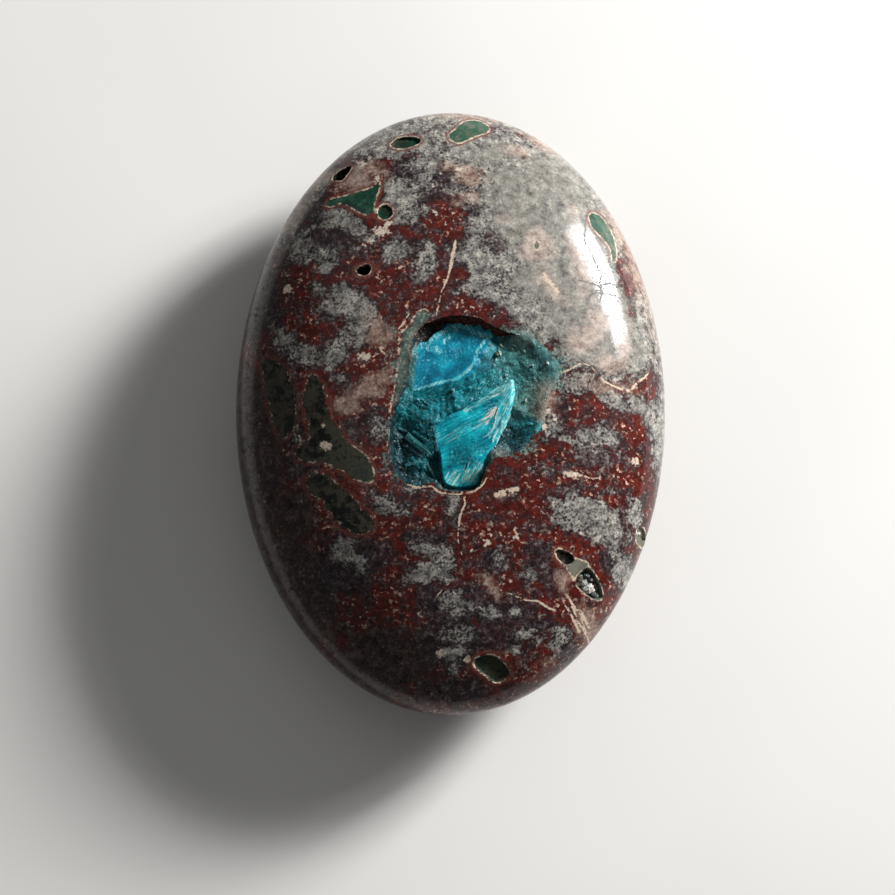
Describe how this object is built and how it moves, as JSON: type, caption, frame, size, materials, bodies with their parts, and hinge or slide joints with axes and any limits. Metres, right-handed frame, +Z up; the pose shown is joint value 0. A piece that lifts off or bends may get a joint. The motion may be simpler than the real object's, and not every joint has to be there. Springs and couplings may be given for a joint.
{
  "type": "cavansite specimen",
  "caption": "Polished oval basalt cabochon with an open pocket lined by a teal druse that holds blue cavansite crystals; rests on a flat base",
  "frame": {"origin": "middle of the flat base the stone rests on", "axes": "+Y along the stone's long axis, towards the end with the round green amygdules; +X across it; +Z up, out of the crown that carries the pocket"},
  "size_m": [0.0352, 0.05, 0.0138],
  "materials": {
    "basalt": "polished",
    "druse": "crystalline, translucent",
    "cavansite": "silky, vitreous"
  },
  "bodies": {
    "root": {"stone": "basalt", "druse_crust": "druse", "cavansite_upper": "cavansite", "cavansite_lower": "cavansite"}
  },
  "joints": []
}
